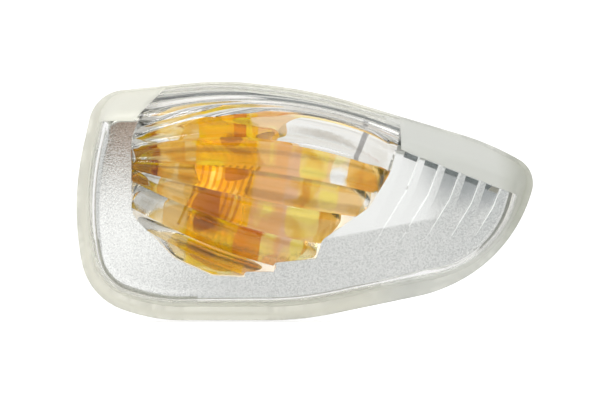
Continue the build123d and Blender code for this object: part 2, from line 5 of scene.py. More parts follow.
import bmesh
import bpy
import numpy as np
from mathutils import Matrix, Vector


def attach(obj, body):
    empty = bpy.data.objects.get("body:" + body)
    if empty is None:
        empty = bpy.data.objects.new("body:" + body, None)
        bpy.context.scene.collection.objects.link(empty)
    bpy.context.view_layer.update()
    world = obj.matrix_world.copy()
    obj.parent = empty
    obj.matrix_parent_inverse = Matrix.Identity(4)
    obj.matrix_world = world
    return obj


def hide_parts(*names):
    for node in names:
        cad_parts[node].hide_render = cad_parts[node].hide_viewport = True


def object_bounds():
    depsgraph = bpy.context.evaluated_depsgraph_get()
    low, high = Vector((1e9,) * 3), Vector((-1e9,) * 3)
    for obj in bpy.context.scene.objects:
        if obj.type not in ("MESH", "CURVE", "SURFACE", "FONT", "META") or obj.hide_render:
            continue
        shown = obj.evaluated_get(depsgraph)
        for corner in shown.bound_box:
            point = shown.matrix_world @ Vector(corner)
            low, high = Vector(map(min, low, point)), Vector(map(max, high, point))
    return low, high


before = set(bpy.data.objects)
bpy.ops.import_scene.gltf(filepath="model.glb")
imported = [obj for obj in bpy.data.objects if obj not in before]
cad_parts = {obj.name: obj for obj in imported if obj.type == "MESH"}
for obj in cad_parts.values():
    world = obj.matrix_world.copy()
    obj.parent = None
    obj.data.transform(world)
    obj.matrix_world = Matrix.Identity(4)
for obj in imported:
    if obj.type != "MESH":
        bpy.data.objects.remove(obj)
cad_low, cad_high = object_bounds()

bl_info = {
    "name": "Vehicle indicator lamp looks",
    "version": (1, 0, 0),
    "blender": (4, 5, 0),
    "location": "3D View > Sidebar > Lamp",
    "description": "Builds the visible surfaces of an indicator lamp around its construction frame",
    "category": "Add Mesh",
}

MM = 0.001
LAMP = "lamp_body"
HOLDER = "holder_body"

# Sizes in millimetres, shared with the construction. Forward is -Y, from the mounting plane to the lens.

# Outline of the welded rim, clockwise from the lower left, as x, z and corner radius
RIM_OUTLINE = [
    (-47.8, -24.4, 16.7),
    (-52.3, 0.9, 74.7),
    (-45.9, 29.5, 9.7),
    (-11.8, 32.9, 77.9),
    (12.2, 29.9, 125.0),
    (57.7, 16.3, 71.9),
    (70.5, 9.1, 7.2),
    (63.2, -14.3, 38.5),
    (42.6, -23.2, 37.6),
    (8.3, -30.3, 87.2),
    (-30.6, -30.3, 47.8),
]
FLANGE_WIDTHS = [3.0, 2.4, 0.6, 0.6, 0.6, 1.0, 2.0, 2.6, 3.6, 3.6, 3.6]
WALL_LEANS = [3.2, 3.2, 8.0, 8.0, 8.0, 8.0, 6.0, 5.0, 4.2, 4.2, 4.2]
TOP_LEAN = 8.0
LEAN_HEIGHT = 18.0
LEAST_RADIUS = 2.0
SIDE_USE = 0.97
ARC_STEPS = 22
SIDE_STEPS = 5
ROUND_STEPS = 64

# Lens
WELD_FORWARD = 24.0
FLANGE_FRONT = 26.2
CREST = 39.2
CROWN_RADIUS = 330.0
CROWN_TILT = math.radians(8.8)
CROWN_X = 5.0
LENS_WALL = 2.4
SIDE_WALL = 1.6
LENS_EDGE = 3.0
FLANGE_EDGE = 0.4
TONGUE_INSET = 1.2
TONGUE_WIDTH = 1.0
TONGUE_DEPTH = 1.2
MIDDLE = (6.0, 2.0)
CROWN_STEPS = 26
FILLET_STEPS = 9

# Flutes, whose cusp lines pass these heights at three stations along X
STATIONS = np.array([-35.4, -5.2, 28.9])
CUSPS = np.array(
    [
        [28.6, 27.3, 26.0, 24.4, 22.0, 19.4, 17.1, 14.7, 11.3, 9.4, 6.3, -0.8, -4.5],
        [30.7, 29.7, 28.6, 27.6, 26.5, 25.5, 23.9, 17.1, 9.4, 2.1, -5.8, -13.9, -18.6],
        [24.2, 23.1, 22.0, 21.0, 19.9, 18.9, 17.6, 9.7, 2.9, -3.7, -11.3, -19.7, -24.9],
    ]
)
FLUTE_LIMIT = 1.4
FLUTE_STAND = 0.5
FLUTE_ROOT = 1.2
FLUTE_LOW = 28.7
FLUTE_MARGIN = 0.3
FLUTE_LINES = 110
FLUTE_COLUMNS = 170
FLUTE_REACH = (-35.85, 34.8)
FLUTE_CLOSING = 0.055
LEAST_COLUMN = 0.4

# Window in the bezel, clockwise from the lower left, with the stepped lower edge last
WINDOW_OUTLINE = [
    (-36.2, -2.4, 4.0),
    (-36.2, 17.0, 10.0),
    (-31.5, 29.0, 2.0),
    (-10.0, 31.0, 20.0),
    (35.2, 22.5, 2.0),
    (31.6, 8.5, 12.0),
    (26.0, -0.8, 5.0),
    (13.9, -9.2, 2.0),
    (12.4, -14.2, 1.0),
    (1.8, -15.2, 0.4),
    (1.6, -17.6, 0.4),
    (-5.8, -17.6, 0.4),
    (-6.0, -19.2, 0.4),
    (-15.0, -18.8, 2.0),
    (-25.0, -14.4, 8.0),
]
WINDOW_DRAFT = 0.9

# Bezel
BEZEL_INWARDS = np.array([1.75, 1.75, 3.2, 3.6, 4.2, 4.2, 2.6, 1.9, 1.75, 1.75, 1.75])
BEZEL_DROP = 3.8
BEZEL_WALL = 1.8
BEZEL_EDGE = 1.4
BEZEL_BASE = 22.0
BEZEL_BACK = 28.45
TERRACES = 5
TERRACE_FIRST = np.array([38.6, 12.6])
TERRACE_PITCH = np.array([5.3, -2.05])
TERRACE_WIDTH = 3.4
TERRACE_DEPTH = 2.6
SLOT_HEIGHT = 1.3
SLOT_DEPTH = 3.3
TERRACE_DRAFT = 0.35
TERRACE_SHRINK = 0.11
TERRACE_LEGS = np.array([(0.0, 0.0), (-3.2, -8.7), (-7.8, -13.1), (-6.0, -3.0)])
TERRACE_NARROWING = np.array([1.0, 0.95, 0.7, 0.0])

# Where steep faces of the bezel take the lighter finish, a painted highlight: left, right, low and high ends
WINDOW_WALLS = (-37.2, 35.5, -20.2, 4.0)
TERRACE_LEFT = 36.0
TERRACE_RIGHT = 60.0

# Cloudy parts of the lens: lines as slope and height at x = 0, and ends on x
SLOT_LINE = (-0.385, 27.5)
CORNER_LINE = (1.16, 62.5)
CORNER_HEIGHT = 21.8
CORNER_REACH = (-60.0, -25.0)
CLOUDY_RIGHT = 34.0
CLOUDY_WALL = 29.6

# Reflector bowl
MOUTH_OUTLINE = [
    (-35.4, -2.4, 4.0),
    (-35.4, 14.0, 8.0),
    (-28.0, 23.0, 6.0),
    (-10.0, 24.0, 20.0),
    (12.0, 21.5, 20.0),
    (33.0, 14.5, 3.0),
    (30.0, 5.0, 12.0),
    (25.0, -1.5, 5.0),
    (12.6, -13.6, 3.0),
    (1.0, -18.2, 3.0),
    (-15.0, -18.4, 6.0),
    (-26.0, -12.8, 8.0),
]
MOUTH_FORWARD = 28.4
MOUTH_FLANGE = 2.6
BOWL_BACK = 14.2
BOWL_DEPTH = 11.2
BOWL_SHALLOWING = 0.3
BOWL_RADIUS = 40.0
BOWL_MIDDLE = (-1.5, 4.0)
STRIPS = 8
STRIP_WIDTH = 9.2
STRIP_LEAN = math.radians(8.0)
BULB_HOLE = 7.7

# Edge of the bowl itself, which leaves a flat shelf inside the mouth at the upper right
BOWL_OUTLINE = [
    *MOUTH_OUTLINE[:4],
    (4.0, 22.0, 4.0),
    (9.0, 16.0, 3.0),
    (32.6, 10.8, 3.0),
    *MOUTH_OUTLINE[6:],
]

# Amber filter, whose ball has a radius, a middle along X and a crest
FILTER_OUTLINE = [
    (-27.0, -4.5, 4.0),
    (-29.5, 8.0, 5.0),
    (-33.5, 14.0, 3.0),
    (-18.0, 21.5, 8.0),
    (2.0, 20.5, 5.0),
    (8.0, 15.0, 5.0),
    (31.5, 9.5, 3.0),
    (22.5, -1.5, 6.0),
    (9.8, -12.0, 4.0),
    (0.0, -17.2, 4.0),
    (-14.0, -17.2, 6.0),
    (-24.0, -11.5, 5.0),
]
FILTER_BALL = (170.0, -3.2, 31.0)
FILTER_MIDDLE = (-1.0, 3.0)
FILTER_WALL = 1.8
EARS = [(-32.5, 10.0), (32.5, 8.0)]
EAR_LENGTH = 7.0
EAR_WIDTH = 7.0
EAR_LOW = 27.0
EAR_HIGH = 28.3
RIBS = 8
RIB_WIDTH = 0.7
RIB_HEIGHT = 0.5
RIB_LENGTH = 17.0
RIB_LEAN = math.radians(27.0)
RIB_SINK = 0.1

# Bulb, along Y
BULB = (-12.9, 3.9)
BULB_RADIUS = 7.6
BULB_TIP = 26.5
BULB_END = -10.0
PINCH_FRONT = -2.0
BULB_SHOULDER = 5.0
NECK_RADIUS = 5.4
GLASS_WALL = 0.9
PINCH_WIDTH = 9.5
PINCH_THICKNESS = 2.1


def unit(vectors):
    """Rows of vectors brought to the length one."""
    return vectors / np.linalg.norm(vectors, axis=1)[:, None]


def arc(start, corner, end, s, weight):
    """Points of a circular arc, as the rational quadratic of its start, corner and end."""
    a, b, c = (1 - s) ** 2, 2 * s * (1 - s) * weight, s**2
    return (a * start + b * corner + c * end) / (a + b + c)


def inset(corners, widths):
    """Each side moved inward along its normal by its own width. Corner radii shrink by the two's mean."""
    table = np.array(corners, float)
    points, radii = table[:, :2], table[:, 2]
    width = np.array(np.broadcast_to(np.asarray(widths, float), len(table)))
    along = unit(np.roll(points, -1, 0) - points)
    normal_out = np.stack([along[:, 1], -along[:, 0]], 1)
    normal_in, width_in = np.roll(normal_out, 1, 0), np.roll(width, 1)
    area = normal_in[:, 0] * normal_out[:, 1] - normal_in[:, 1] * normal_out[:, 0]
    dx = (width_in * normal_out[:, 1] - width * normal_in[:, 1]) / area
    dz = (width * normal_in[:, 0] - width_in * normal_out[:, 0]) / area
    smaller = np.maximum(radii - (width_in + width) / 2, np.minimum(radii, LEAST_RADIUS))
    return np.column_stack([points[:, 0] + dx, points[:, 1] + dz, smaller])


def rounded(corners, arc_steps=ARC_STEPS, side_steps=SIDE_STEPS):
    """Points round an outline: an arc at each corner, then even steps on the straight to the next arc.
    Equal steps give rings that match one another."""
    table = np.array(corners, float)
    points, radii = table[:, :2], table[:, 2]
    side = np.roll(points, -1, 0) - points
    length = np.linalg.norm(side, axis=1)
    along = side / length[:, None]
    before = np.roll(along, 1, 0)
    turn = np.arctan2(before[:, 0] * along[:, 1] - before[:, 1] * along[:, 0], (before * along).sum(1))
    tangent = radii * np.tan(np.abs(turn) / 2)
    share = np.minimum(1.0, SIDE_USE * length / (tangent + np.roll(tangent, -1)))
    tangent = tangent * np.minimum(share, np.roll(share, 1))
    start = points - before * tangent[:, None]
    end = points + along * tangent[:, None]
    s = np.linspace(0, 1, arc_steps + 1)[None, :, None]
    weight = np.cos(turn / 2)[:, None, None]
    arcs = arc(start[:, None], points[:, None], end[:, None], s, weight)
    t = np.linspace(0, 1, side_steps + 2)[None, 1:-1, None]
    straights = end[:, None] * (1 - t) + np.roll(start, -1, 0)[:, None] * t
    return np.concatenate([arcs, straights], 1).reshape(-1, 2)


def crown(points, drop, radius=CROWN_RADIUS, across=CROWN_X, crest=CREST):
    """Forward distance of a ball's front, the radius less the drop, about the ball's tilted centre."""
    centre_z = radius * math.sin(CROWN_TILT)
    away = (points[..., 0] - across) ** 2 + (points[..., 1] - centre_z) ** 2
    return np.sqrt((radius - drop) ** 2 - away) - (radius * math.cos(CROWN_TILT) - crest)


def ring(points, forward):
    """An outline at a forward distance, as rows of x, y and z."""
    return np.stack([points[..., 0], -np.broadcast_to(forward, points.shape[:-1]), points[..., 1]], -1)


WALL_OUTLINE = inset(RIM_OUTLINE, FLANGE_WIDTHS)


def skin(inward, drop, low, edge_radius):
    """Rings up a leaning wall, round its front edge and over the crown to the middle. The wall runs straight
    from the base outline to the leaned one, the edge is the arc that touches wall and crown, and the crown
    rings are the edge ring drawn in towards the middle and lifted onto the ball."""
    base = rounded(inset(WALL_OUTLINE, inward))
    lean = (rounded(inset(inset(WALL_OUTLINE, WALL_LEANS), inward)) - base) / LEAN_HEIGHT
    rise = np.full(len(base), CREST - FLANGE_FRONT)
    for _ in range(8):
        rise = crown(base + lean * rise[:, None], drop) - FLANGE_FRONT
    edge = base + lean * rise[:, None]
    slope = crown(edge + unit(lean), drop) - crown(edge, drop)
    down = unit(np.column_stack([-lean, -np.ones(len(lean))]))
    over = unit(np.column_stack([unit(lean), slope]))
    half = np.arccos((down * over).sum(1)) / 2
    tangent = (edge_radius / np.tan(half))[:, None]
    corner = np.column_stack([edge, FLANGE_FRONT + rise])
    start, end = corner + down * tangent, corner + over * tangent
    s = np.linspace(0, 1, FILLET_STEPS)[:, None, None]
    fillet = arc(start, corner, end, s, np.sin(half)[None, :, None])
    foot = np.column_stack([base, np.full(len(base), FLANGE_FRONT)])
    t = np.linspace(0, 1, 5)[:-1, None, None]
    wall = foot * (1 - t) + start * t
    u = np.linspace(0, 1, CROWN_STEPS)[1:, None, None]
    flat = fillet[-1, :, :2] * (1 - u) + np.array(MIDDLE) * u
    cap = np.concatenate([flat, crown(flat, drop)[..., None]], -1)
    rows = np.concatenate([wall, fillet, cap])
    rings = ring(rows[..., :2], rows[..., 2])
    if low < FLANGE_FRONT:
        rings = np.concatenate([ring(base, low)[None], rings])
    return rings


def grid_faces(rows, columns, wrap):
    """Quads between neighbouring rows of a grid, closed round its columns where it wraps."""
    count = columns if wrap else columns - 1
    i, j = np.meshgrid(np.arange(rows - 1), np.arange(count), indexing="ij")
    after = (j + 1) % columns
    quads = [i * columns + j, i * columns + after, (i + 1) * columns + after, (i + 1) * columns + j]
    return np.stack(quads, -1).reshape(-1, 4)


def closed_piece(name, grids):
    """One object from several grids of points in millimetres, each (points, wrap, caps). Doubled points such
    as those of a pole are merged, flat ends are capped and faces turned outwards."""
    mesh = bpy.data.meshes.new(name)
    points, faces, base = [], [], 0
    for grid, wrap, caps in grids:
        rows, columns = grid.shape[:2]
        points.append(grid.reshape(-1, 3))
        faces += (grid_faces(rows, columns, wrap) + base).tolist()
        if caps:
            for start in (base, base + (rows - 1) * columns):
                faces.append(list(range(start, start + columns)))
        base += rows * columns
    mesh.from_pydata(np.concatenate(points) * MM, [], faces)
    tidy = bmesh.new()
    tidy.from_mesh(mesh)
    bmesh.ops.remove_doubles(tidy, verts=tidy.verts, dist=1e-7)
    bmesh.ops.dissolve_degenerate(tidy, edges=tidy.edges, dist=1e-8)
    bmesh.ops.recalc_face_normals(tidy, faces=tidy.faces)
    tidy.to_mesh(mesh)
    tidy.free()
    piece = bpy.data.objects.new(name, mesh)
    bpy.context.scene.collection.objects.link(piece)
    return piece


def block(near, far, low, high):
    """Grid of a block between two outlines at two forward distances."""
    return np.stack([ring(near, low), ring(far, high)]), True, True


def prism(corners, low, high):
    """Grid of a straight block with a rounded outline."""
    outline = rounded(corners, 6, 2)
    return block(outline, outline, low, high)


def drum(place, radius, low, high):
    """Grid of a straight cylinder along Y."""
    turn = np.linspace(0, 2 * np.pi, ROUND_STEPS, endpoint=False)
    circle = np.column_stack([place[0] + radius * np.cos(turn), place[1] + radius * np.sin(turn)])
    return block(circle, circle, low, high)


def boxed(place, size, low, high):
    """Grid of a rectangular block."""
    signs = np.array([(-1, -1), (-1, 1), (1, 1), (1, -1)]) / 2
    corners = np.array(place) + signs * np.array(size)
    return block(corners, corners, low, high)


def combine(piece, grids, operation):
    """The piece joined with or cut by the closed form of some grids, as a plain mesh again."""
    tool = closed_piece("tool", grids)
    modifier = piece.modifiers.new("combine", "BOOLEAN")
    modifier.operation = operation
    modifier.solver = "EXACT"
    modifier.object = tool
    bpy.context.view_layer.update()
    graph = bpy.context.evaluated_depsgraph_get()
    made = bpy.data.meshes.new_from_object(piece.evaluated_get(graph))
    piece.modifiers.clear()
    piece.data = made
    bpy.data.objects.remove(tool)


def smooth(piece, angle):
    """Faces shaded smooth, with edges sharper than the angle in degrees kept crisp."""
    piece.data.shade_smooth()
    piece.data.set_sharp_from_angle(angle=math.radians(angle))


def split_along(piece, planes):
    """Faces cut along planes that contain Y, so that a finish can end there. Each plane is a point, a normal
    and the reach along x of the faces it may cut. All are given in one order, the same on each run."""
    mesh = bmesh.new()
    mesh.from_mesh(piece.data)
    for place, normal, low, high in planes:
        faces = [f for f in mesh.faces if all(low * MM < v.co.x < high * MM for v in f.verts)]
        edges = dict.fromkeys(e for f in faces for e in f.edges)
        verts = dict.fromkeys(v for e in edges for v in e.verts)
        geometry = [*verts, *edges, *faces]
        bmesh.ops.bisect_plane(mesh, geom=geometry, dist=1e-7, plane_co=Vector(place) * MM, plane_no=normal)
    mesh.to_mesh(piece.data)
    mesh.free()


def face_places(piece):
    """Middles of the faces in millimetres as x, forward and z, and whether each is steep."""
    polygons = piece.data.polygons
    centres, normals = np.empty(3 * len(polygons)), np.empty(3 * len(polygons))
    polygons.foreach_get("center", centres)
    polygons.foreach_get("normal", normals)
    return centres[0::3] / MM, -centres[1::3] / MM, centres[2::3] / MM, np.abs(normals[1::3]) < 0.6


def envelope(outline):
    """Upper and lower edge of an outline as functions of x, by interpolation along its two chains."""
    order = outline[:, 0].argmin()
    turned = np.roll(outline, -order, 0)
    right = turned[:, 0].argmax()
    upper, lower = turned[: right + 1], np.concatenate([turned[right:], turned[:1]])[::-1]
    return [lambda x, chain=chain: np.interp(x, *chain.T) for chain in (upper, lower)]


def through_three(x):
    """Heights of the cusp lines at x: for each, the parabola through its three stations."""
    shares = []
    for order in ([0, 1, 2], [1, 0, 2], [2, 0, 1]):
        at, a, b = STATIONS[order]
        shares.append((x - a) * (x - b) / ((at - a) * (at - b)))
    return np.stack(shares, -1) @ CUSPS


def flute_block(bulge_share):
    """The fluted pad. At each x the line from the window's top to its foot is split at the cusps, and
    between two cusps it bows inwards as 4t(1 - t) times the bulge. A second line, a root deeper in the
    wall, closes the loop."""
    upper, lower = envelope(rounded(inset(WINDOW_OUTLINE, FLUTE_MARGIN), 8, 3))
    wall_top, _ = envelope(rounded(inset(WALL_OUTLINE, SIDE_WALL)))
    slope = TOP_LEAN / LEAN_HEIGHT

    def inner(x, z):
        flat = np.stack([np.broadcast_to(x, z.shape), z], -1)
        return np.minimum(crown(flat, LENS_WALL), FLANGE_FRONT + (wall_top(x) - z) / slope)

    x = np.linspace(*FLUTE_REACH, FLUTE_COLUMNS)
    top = np.minimum(upper(x), wall_top(x) - (FLUTE_LOW - FLANGE_FRONT) * slope)
    foot = lower(x)
    keep = top - foot > LEAST_COLUMN
    x, top, foot = x[keep][:, None], top[keep][:, None], foot[keep][:, None]
    heights = through_three(x[:, 0])
    # Lines follow the cusps, and those outside the window close up on its edge
    share = np.linspace(0, heights.shape[1] - 1, FLUTE_LINES)
    whole = np.minimum(share.astype(int), heights.shape[1] - 2)
    part = share - whole
    z = heights[:, whole] * (1 - part) + heights[:, whole + 1] * part
    spread = np.linspace(0, 1, FLUTE_LINES)[None]
    z = np.clip(z, foot + FLUTE_CLOSING * (1 - spread), top - FLUTE_CLOSING * spread)
    index = np.clip((heights[:, :, None] > z[:, None, :]).sum(1) - 1, 0, heights.shape[1] - 2)
    high, low = np.take_along_axis(heights, index, 1), np.take_along_axis(heights, index + 1, 1)
    t = np.clip((high - z) / (high - low), 0, 1)
    f_high, f_low = inner(x, high), inner(x, low)
    chord = np.stack([low - high, f_low - f_high], -1)
    length = np.linalg.norm(chord, axis=-1, keepdims=True)
    inward = np.stack([chord[..., 1], -chord[..., 0]], -1) / length
    inward *= -np.sign(inward[..., 1:])
    bulge = np.minimum(bulge_share * length, FLUTE_LIMIT) * (4 * t * (1 - t))[..., None] + FLUTE_STAND
    z_front = z + inward[..., 0] * bulge[..., 0]
    f_front = f_high + (f_low - f_high) * t + inward[..., 1] * bulge[..., 0]
    front = np.stack([np.broadcast_to(x, z.shape), -f_front, z_front], -1)
    z_back = z[:, ::-1]
    back = np.stack([np.broadcast_to(x, z.shape), -(inner(x, z_back) + FLUTE_ROOT), z_back], -1)
    return np.concatenate([front, back], 1), True, True


def lens_shell():
    """The lens without flutes: rings from its middle to the rim, round the tongue and in again."""
    outer = skin(0.0, 0.0, FLANGE_FRONT, LENS_EDGE)[::-1]
    inner = skin(SIDE_WALL, LENS_WALL, WELD_FORWARD, LENS_EDGE - LENS_WALL / 2)
    low = WELD_FORWARD - TONGUE_DEPTH
    half = FLANGE_EDGE * 0.3
    profile = [
        (FLANGE_EDGE, FLANGE_FRONT),
        (half, FLANGE_FRONT - half),
        (0, FLANGE_FRONT - FLANGE_EDGE),
        (0, WELD_FORWARD),
        (TONGUE_INSET, WELD_FORWARD),
        (TONGUE_INSET, low),
        (TONGUE_INSET + TONGUE_WIDTH, low),
        (TONGUE_INSET + TONGUE_WIDTH, WELD_FORWARD),
    ]
    edge = [ring(rounded(inset(RIM_OUTLINE, width)), forward) for width, forward in profile]
    return np.concatenate([outer, np.stack(edge), inner]), True, False


def terrace_tool(k):
    """One recess: its outline has a straight top and two sides that sweep down to a point, and its floor
    sinks from the foot to the top in proportion to the height above the foot."""
    scale = 1 - TERRACE_SHRINK * k
    right = TERRACE_FIRST + TERRACE_PITCH * k + np.cumsum(TERRACE_LEGS, 0) * scale
    rise = -TERRACE_PITCH[1] / TERRACE_PITCH[0]
    left = right + np.column_stack([-TERRACE_NARROWING, TERRACE_NARROWING * rise]) * TERRACE_WIDTH
    slot = SLOT_HEIGHT / -TERRACE_LEGS[1, 1] / scale
    t = np.concatenate([[0.0, slot, slot + 0.001], np.linspace(slot, 3, 25)[1:]])
    near, far = (np.stack([np.interp(t, range(4), axis) for axis in side.T], -1) for side in (left, right))
    share = np.linspace(0, 1, 5)[None, :, None]
    lines = near[:, None] * (1 - share) + far[:, None] * share
    foot = right[-1, 1]
    sink = TERRACE_DEPTH * (lines[..., 1] - foot) / (right[0, 1] - foot)
    sink = np.where(t[:, None] <= slot, SLOT_DEPTH, sink)
    base = crown(lines, BEZEL_DROP) - sink
    lid_forward = CREST + 2.0
    spread = np.stack([np.linspace(-0.2, 1, 5), np.linspace(0.05, -0.25, 5)], -1)
    drafted = lines + TERRACE_DRAFT / TERRACE_DEPTH * (lid_forward - base)[..., None] * spread
    return np.concatenate([ring(lines, base), ring(drafted[:, ::-1], lid_forward)], 1), True, True


def bezel_body():
    """The bezel as a cap, its window not yet cut: outer skin, then under it a wall and a flat back."""
    outer = skin(BEZEL_INWARDS, BEZEL_DROP, BEZEL_BASE, BEZEL_EDGE)[::-1]
    inside = rounded(inset(WALL_OUTLINE, BEZEL_INWARDS + BEZEL_WALL))
    middle = np.broadcast_to(np.array(MIDDLE), inside.shape)
    back = [ring(inside, BEZEL_BASE), ring(inside, BEZEL_BACK), ring(middle, BEZEL_BACK)]
    return np.concatenate([outer, np.stack(back)]), True, False


def bowl_tool():
    """The space in the bowl. In axes turned by the strips' lean, each strip is a drum of one radius that
    lies less deep the further it is from the middle: depth(1 - shallowing k^2)."""
    outline = rounded(BOWL_OUTLINE, 8, 3) - np.array(BOWL_MIDDLE)
    cos, sin = math.cos(STRIP_LEAN), math.sin(STRIP_LEAN)
    turned = outline @ np.array([[cos, sin], [-sin, cos]])
    upper, lower = envelope(turned)
    edges = np.arange(STRIPS + 1) * STRIP_WIDTH - STRIPS * STRIP_WIDTH / 2
    columns = np.linspace(edges[:-1] + 0.01, edges[1:] - 0.01, 6).T.ravel()
    x = np.clip(columns, turned[:, 0].min() + 0.05, turned[:, 0].max() - 0.05)
    k = np.repeat(np.arange(STRIPS), 6)
    keep = np.concatenate([[True], np.diff(x) > 1e-4])
    x, k = x[keep][:, None], k[keep][:, None]
    t = np.linspace(0, 1, 48)[None]
    z = lower(x) * (1 - t) + upper(x) * t
    middle = (STRIPS - 1) / 2
    depth = BOWL_DEPTH * (1 - BOWL_SHALLOWING * ((k - middle) / middle) ** 2)
    floor = MOUTH_FORWARD - depth + BOWL_RADIUS - np.sqrt(BOWL_RADIUS**2 - z**2)
    flat = np.stack([x * cos + z * sin, z * cos - x * sin], -1) + np.array(BOWL_MIDDLE)
    front = ring(flat[:, ::-1], MOUTH_FORWARD + 5.0)
    return np.concatenate([ring(flat, floor), front], 1), True, True


def filter_shell():
    """Rings from the filter's middle out over its front, down its edge and back under it."""
    outline = rounded(FILTER_OUTLINE, 10, 3)
    middle = np.array(FILTER_MIDDLE)
    s = np.linspace(0, 1, 16)[:, None, None]
    flat = middle * (1 - s) + outline * s
    front = ring(flat, crown(flat, 0.0, *FILTER_BALL))
    back = ring(flat, crown(flat, FILTER_WALL, *FILTER_BALL))[::-1]
    return np.concatenate([front, back]), True, False


def filter_ribs():
    """Bars that lie side by side under the filter over the bulb, leaning over, curved with the ball."""
    bars = []
    along = np.linspace(-RIB_LENGTH / 2, RIB_LENGTH / 2, 12)
    up = np.array([math.sin(RIB_LEAN), math.cos(RIB_LEAN)])
    side = np.array([up[1], -up[0]]) * RIB_WIDTH / 2
    for i in range(RIBS):
        across = (i - (RIBS - 1) / 2) * 2 * BULB_RADIUS / RIBS
        line = np.array(BULB) + np.array([across, 0.0]) + along[:, None] * up
        left, right = line - side, line + side
        near, deep = FILTER_WALL - RIB_SINK, FILTER_WALL + RIB_HEIGHT
        corners = [(left, near), (right, near), (right, deep), (left, deep)]
        edges = [ring(p, crown(p, drop, *FILTER_BALL)) for p, drop in corners]
        bars.append((np.stack(edges, 1), True, True))
    return bars


def glass_rings(radius, neck, low, high):
    """Circles up the bulb: a cone from the neck, a straight wall and a round tip."""
    shoulder, straight_end = PINCH_FRONT + BULB_SHOULDER, high - radius
    tip = np.linspace(0, np.pi / 2, 16)
    r = np.concatenate([[0.0, neck, radius], radius * np.cos(tip)])
    f = np.concatenate([[low, low, shoulder], straight_end + radius * np.sin(tip)])
    turn = np.linspace(0, 2 * np.pi, ROUND_STEPS, endpoint=False)
    x = BULB[0] + r[:, None] * np.cos(turn)
    z = BULB[1] + r[:, None] * np.sin(turn)
    return np.stack([x, -np.broadcast_to(f[:, None], x.shape), z], -1)


# Finishes: grain scale, spread of roughness, bump and broad change of tone
SILVER_GRAIN = (2300, 0.16, 0.12, 0.05)
EDGE_GRAIN = (2300, 0.1, 0.1, 0.03)
BOWL_GRAIN = (2500, 0.06, 0.08, 0.05)
HOUSING_GRAIN = (1800, 0.15, 0.2, 0.06)
METAL_GRAIN = (2500, 0.1, 0.1, 0.1)
GRAIN_DEPTH = 0.0002
BROAD_SCALE = 60.0

# Lighter, less metallic copy of the silver for the bezel's steep walls: a painted highlight
EDGE_HIGHLIGHT_COLOUR = (0.95, 0.96, 0.955)
BOWL_COLOUR = (0.96, 0.96, 0.95)
PLASTIC_IOR = 1.49
GLASS_IOR = 1.5
AMBER_IOR = 1.15
HAZE_FACING = (0.85, 0.6)

# Where tones change: from and to along x, z or depth in millimetres, or in the grain's height
FLANGE_GREY = (22.0, 36.0)
FLANGE_GREY_TONE = (0.66, 0.67, 0.63)
FLANGE_END = (58.0, 66.0)
FLANGE_END_TONE = (0.50, 0.51, 0.45)
SPARKLE = (0.36, 0.56)
SPARKLE_SHARE = 0.8
# Painted highlight on the bezel right of the window: its slanted lower line, soft fade, left and right ends
# and tone
PAINTED_HIGHLIGHT_LINE = (0.19, -12.0)
PAINTED_HIGHLIGHT_FADE = 1.0
PAINTED_HIGHLIGHT_LEFT = (12.0, 18.0)
PAINTED_HIGHLIGHT_RIGHT = (47.0, 39.0)
PAINTED_HIGHLIGHT_TONE = (0.87, 0.88, 0.88)
# Painted shade: darker towards the floors of the terraces at the right, darkest in their slots
CHANNEL_SHADE_DEPTH = (1.1, 2.5)
CHANNEL_SHADE_REACH = (34.0, 50.0)
CHANNEL_SHADE_TONE = (0.36, 0.38, 0.39)
SLOT_SHADE_DEPTH = (2.75, 3.1)
SLOT_SHADE_TONE = (0.17, 0.19, 0.19)
BOWL_SHADE = (-27.0, -32.0)
BOWL_SHADE_TONE = (0.60, 0.60, 0.58)
LINE_LEAN = 0.24
LINE_LEFT = (18.8, 19.3)
LINE_RIGHT = (20.6, 20.1)
LINE_FOOT = (11.5, 13.5)
LINE_TONE = (0.42, 0.41, 0.41)

# Tones of the filter from left to right, from shares of its width
AMBER_ZONES = [
    (0.0, (0.935, 0.76, 0.46)),
    (0.195, (1.0, 0.68, 0.0)),
    (0.4235, (0.95, 0.69, 0.42)),
    (0.55, (0.94, 0.72, 0.54)),
    (0.60, (0.98, 0.80, 0.52)),
]
AMBER_SPAN = 0.034
AMBER_SLANT = 0.12
YELLOW = (1.0, 0.89, 0.42)
DEEP_YELLOW = (1.0, 0.80, 0.08)
LIGHT_BROWN = (0.87, 0.57, 0.12)
BROWN = (0.58, 0.30, 0.0)
RED_ORANGE = (0.86, 0.42, 0.03)
FACET_SCALE = 230
FACET_RANDOMNESS = 0.9
YELLOW_FACETS = (0.80, 0.84)
BROWN_FACETS = (0.84, 0.88)
PATCH_EDGE = (1.15, 0.85)
RIB_DEPTH = (0.02, 0.12)

# Painted reflections seen through the filter, each of one tone, and one white painted highlight:
# middle x and z, half width and half height in millimetres
PAINTED_AMBER_REFLECTIONS = [
    (11.5, 10.5, 3.6, 3.2, YELLOW),
    (15.3, 2.2, 2.4, 1.8, YELLOW),
    (8.3, -4.0, 4.3, 3.0, YELLOW),
    (-15.5, 11.5, 3.6, 1.4, DEEP_YELLOW),
    (-18.5, 5.0, 2.0, 1.6, DEEP_YELLOW),
    (-10.0, 16.5, 3.0, 1.8, BROWN),
    (-8.5, 7.6, 3.2, 1.0, BROWN),
    (-16.5, -1.6, 3.6, 4.4, BROWN),
    (-7.6, 21.5, 1.6, 3.0, RED_ORANGE),
    (-6.0, -10.5, 3.4, 3.4, RED_ORANGE),
    # A white painted highlight
    (18.1, 8.1, 2.2, 2.8, (1.0, 1.0, 1.0)),
]

